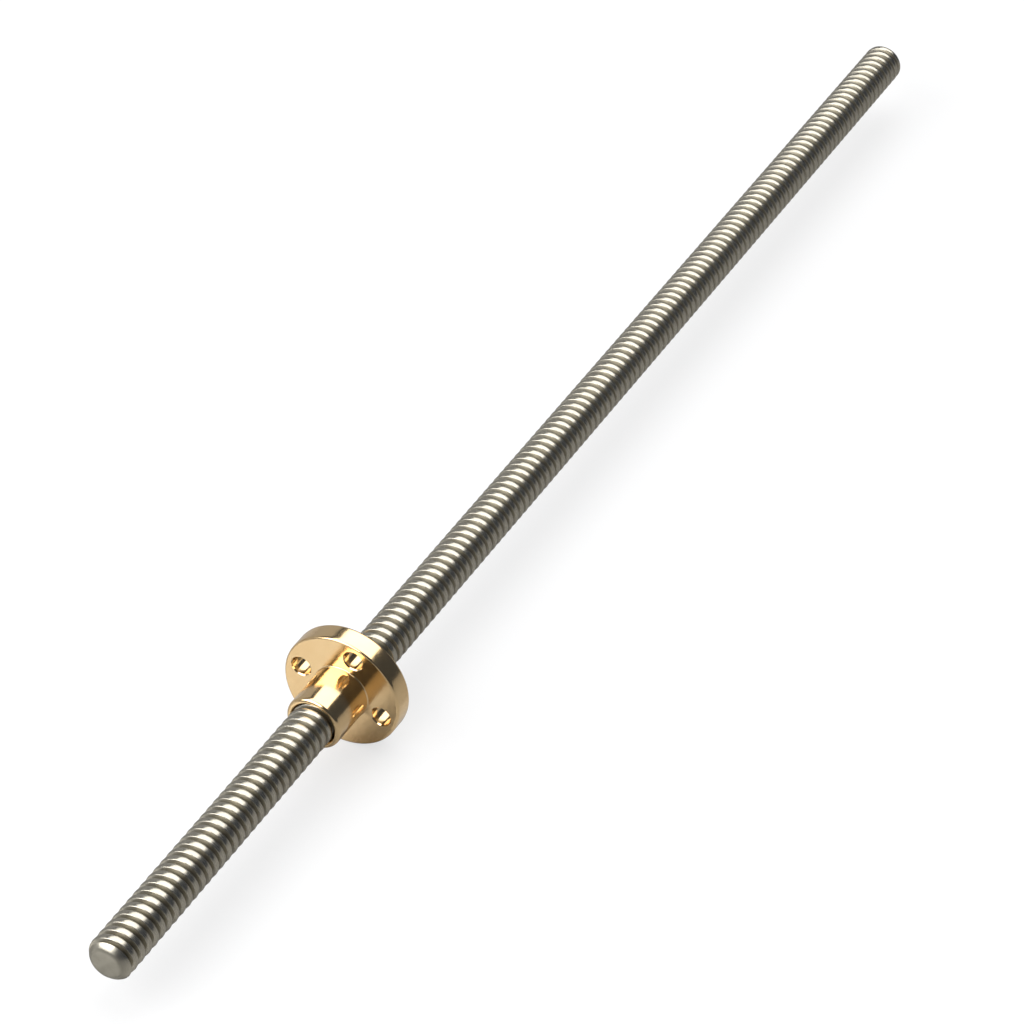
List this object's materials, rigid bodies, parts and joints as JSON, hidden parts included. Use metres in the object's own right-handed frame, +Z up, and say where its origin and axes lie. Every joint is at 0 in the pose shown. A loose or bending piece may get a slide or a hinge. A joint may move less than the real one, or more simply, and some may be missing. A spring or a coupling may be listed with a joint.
{
  "type": "trapezoidal lead screw with flanged nut",
  "caption": "Steel trapezoidal lead screw with a round flanged brass nut on it, which turns the screw's rotation into straight travel.",
  "frame": {"origin": "centre of the screw's end face on the side of the nut's boss", "axes": "+X along the screw's axis to its other end, +Z up, with the screw held level by its end on the boss's side"},
  "size_m": [0.3, 0.022, 0.022],
  "materials": {
    "screw_steel": "rolled steel, bright on the crests, with a thin film of oil",
    "nut_brass": "turned and polished brass"
  },
  "bodies": {
    "screw": {"lead_screw": "screw_steel"},
    "nut": {"flange_nut": "nut_brass"}
  },
  "joints": [
    {"name": "nut_travel", "type": "slide", "parent": "screw", "child": "nut", "axis": [1, 0, 0], "range_m": [-0.062, 0.218]}
  ]
}
